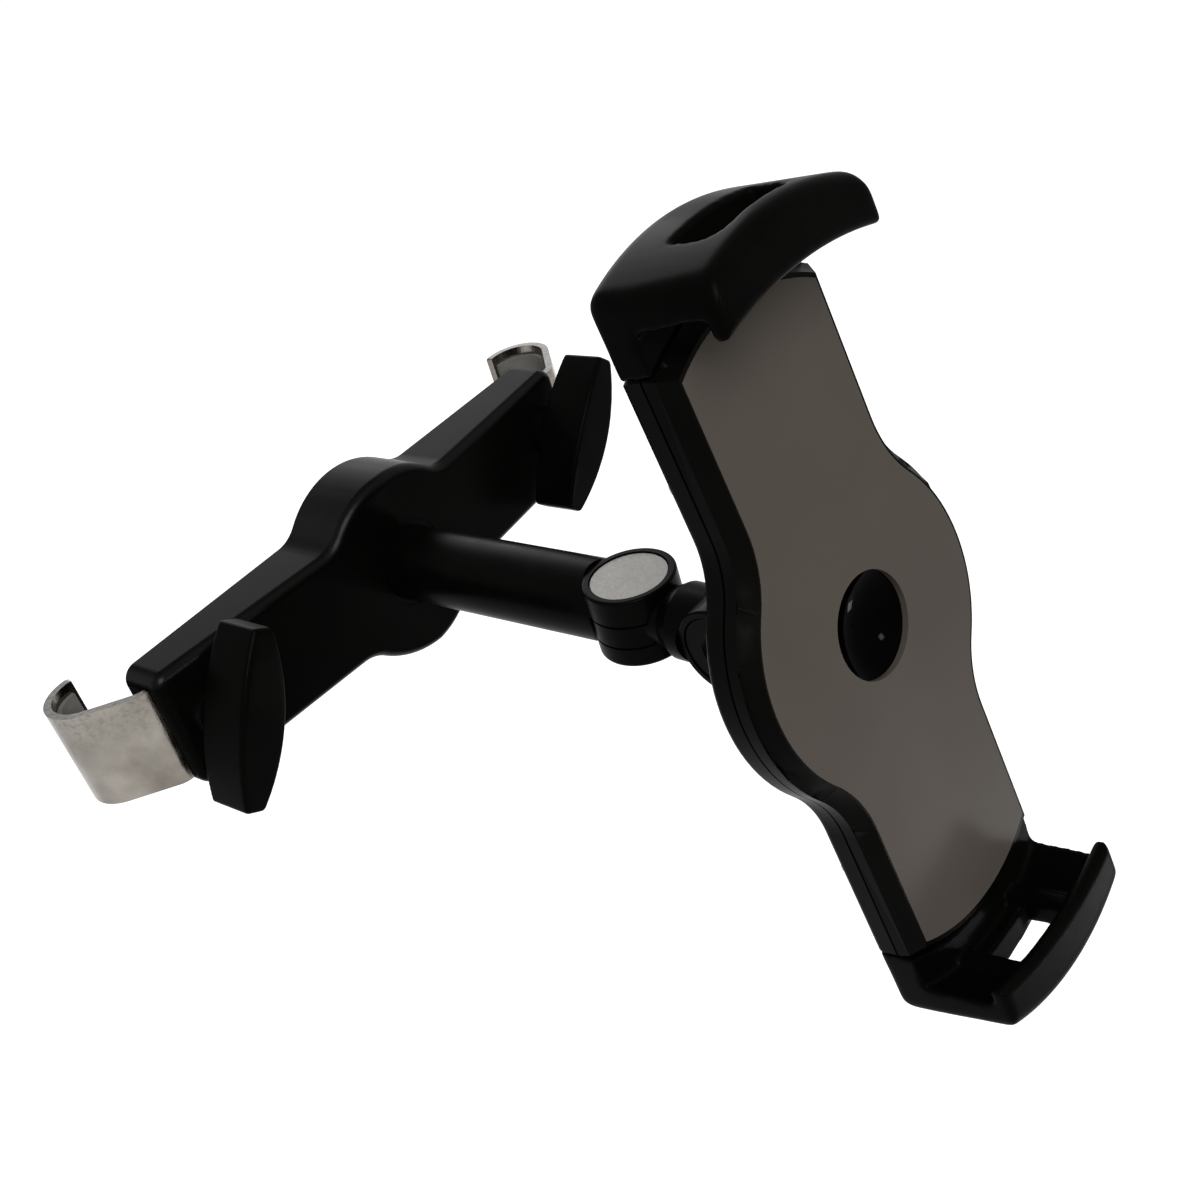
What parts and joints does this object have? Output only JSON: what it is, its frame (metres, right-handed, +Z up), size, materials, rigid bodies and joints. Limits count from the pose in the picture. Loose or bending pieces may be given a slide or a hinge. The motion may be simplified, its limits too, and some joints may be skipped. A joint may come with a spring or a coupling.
{
  "type": "headrest tablet mount",
  "caption": "Tablet holder on a jointed arm: hooks with wing knobs clamp it to headrest posts, two hinges and a pivot aim it, and spring jaws grip the tablet.",
  "frame": {"origin": "middle of the bracket's flat back, midway between the headrest posts", "axes": "+X along the bracket, +Z up along the posts, the back faces +Y and the arm and the tablet face point to -Y"},
  "size_m": [0.1524, 0.1728, 0.1478],
  "materials": {
    "bracket_plastic": "fine grained black moulding",
    "chrome": "plated steel strip, satin bright",
    "hook_rubber": "soft grey lining",
    "knob_plastic": "fine grained black moulding",
    "steel": "turned and plated",
    "black_paint": "satin black",
    "silver_cap": "fine satin disc",
    "nylon": "natural",
    "black_steel": "blackened steel",
    "gloss_black": "polished",
    "holder_plastic": "fine grained black moulding",
    "plate_paint": "satin warm grey metallic paint",
    "jaw_plastic": "fine grained black moulding",
    "jaw_rubber": "soft strip"
  },
  "bodies": {
    "bracket": {"bracket_front_cover": "bracket_plastic", "bracket_rear_plate": "bracket_plastic", "bracket_screws": "steel", "clamp_nuts": "steel", "knob_washers": "black_steel", "arm": "black_paint", "arm_bolt": "steel", "arm_washer": "steel", "hinge_cap": "silver_cap", "hinge_bolt": "steel", "hinge_nut": "steel", "hinge_lower_cap": "black_paint", "friction_washers": "nylon"},
    "left_hook": {"hook_left": "chrome", "hook_pad_left": "hook_rubber"},
    "right_hook": {"hook_right": "chrome", "hook_pad_right": "hook_rubber"},
    "left_knob": {"wing_knob_left": "knob_plastic", "knob_stud_left": "black_steel"},
    "right_knob": {"wing_knob_right": "knob_plastic", "knob_stud_right": "black_steel"},
    "link": {"link": "black_paint", "tilt_cap": "black_paint", "tilt_bolt": "steel", "tilt_nut": "steel", "tilt_washer": "nylon"},
    "knuckle": {"tilt_knuckle": "black_paint", "pivot_washer": "steel", "pivot_screw": "steel"},
    "holder": {"pivot_cap": "gloss_black", "holder_rear_cover": "holder_plastic", "holder_front_frame": "holder_plastic", "face_plate": "plate_paint", "holder_screws": "steel", "upper_spring": "steel", "lower_spring": "steel"},
    "top_jaw": {"upper_jaw": "jaw_plastic", "upper_jaw_pad": "jaw_rubber"},
    "bottom_jaw": {"lower_jaw": "jaw_plastic", "lower_jaw_pad": "jaw_rubber"}
  },
  "joints": [
    {"name": "left_hook_slide", "type": "slide", "parent": "bracket", "child": "left_hook", "axis": [-1, 0, 0], "range_m": [0, 0.016]},
    {"name": "right_hook_slide", "type": "slide", "parent": "bracket", "child": "right_hook", "axis": [1, 0, 0], "range_m": [-0.0022, 0.0138]},
    {"name": "left_knob_turn", "type": "hinge", "parent": "bracket", "child": "left_knob", "pos_m": [-0.0535, -0.02, 0.0012], "axis": [0, -1, 0], "continuous": true},
    {"name": "right_knob_turn", "type": "hinge", "parent": "bracket", "child": "right_knob", "pos_m": [0.0535, -0.02, 0.0012], "axis": [0, -1, 0], "continuous": true},
    {"name": "elbow_turn", "type": "hinge", "parent": "bracket", "child": "link", "pos_m": [0, -0.0764, 0], "axis": [0, 0, 1], "range_deg": [-40.7, 49.3]},
    {"name": "holder_tilt", "type": "hinge", "parent": "link", "child": "knuckle", "pos_m": [-0.00183, -0.10073, 0], "axis": [0.9972, -0.075, 0], "range_deg": [-47.6, 72.4]},
    {"name": "holder_spin", "type": "hinge", "parent": "knuckle", "child": "holder", "pos_m": [0.00241, -0.10105, 0], "axis": [-0.0732, -0.9739, 0.2147], "continuous": true},
    {"name": "upper_jaw_slide", "type": "slide", "parent": "holder", "child": "top_jaw", "axis": [0.0161, 0.2141, 0.9767], "range_m": [0, 0.034], "stiffness_N_per_m": 250, "springref_m": -0.02, "deforming": ["upper_spring"]},
    {"name": "lower_jaw_slide", "type": "slide", "parent": "holder", "child": "bottom_jaw", "axis": [-0.0161, -0.2141, -0.9767], "range_m": [0, 0.034], "stiffness_N_per_m": 250, "springref_m": -0.02, "deforming": ["lower_spring"]}
  ]
}
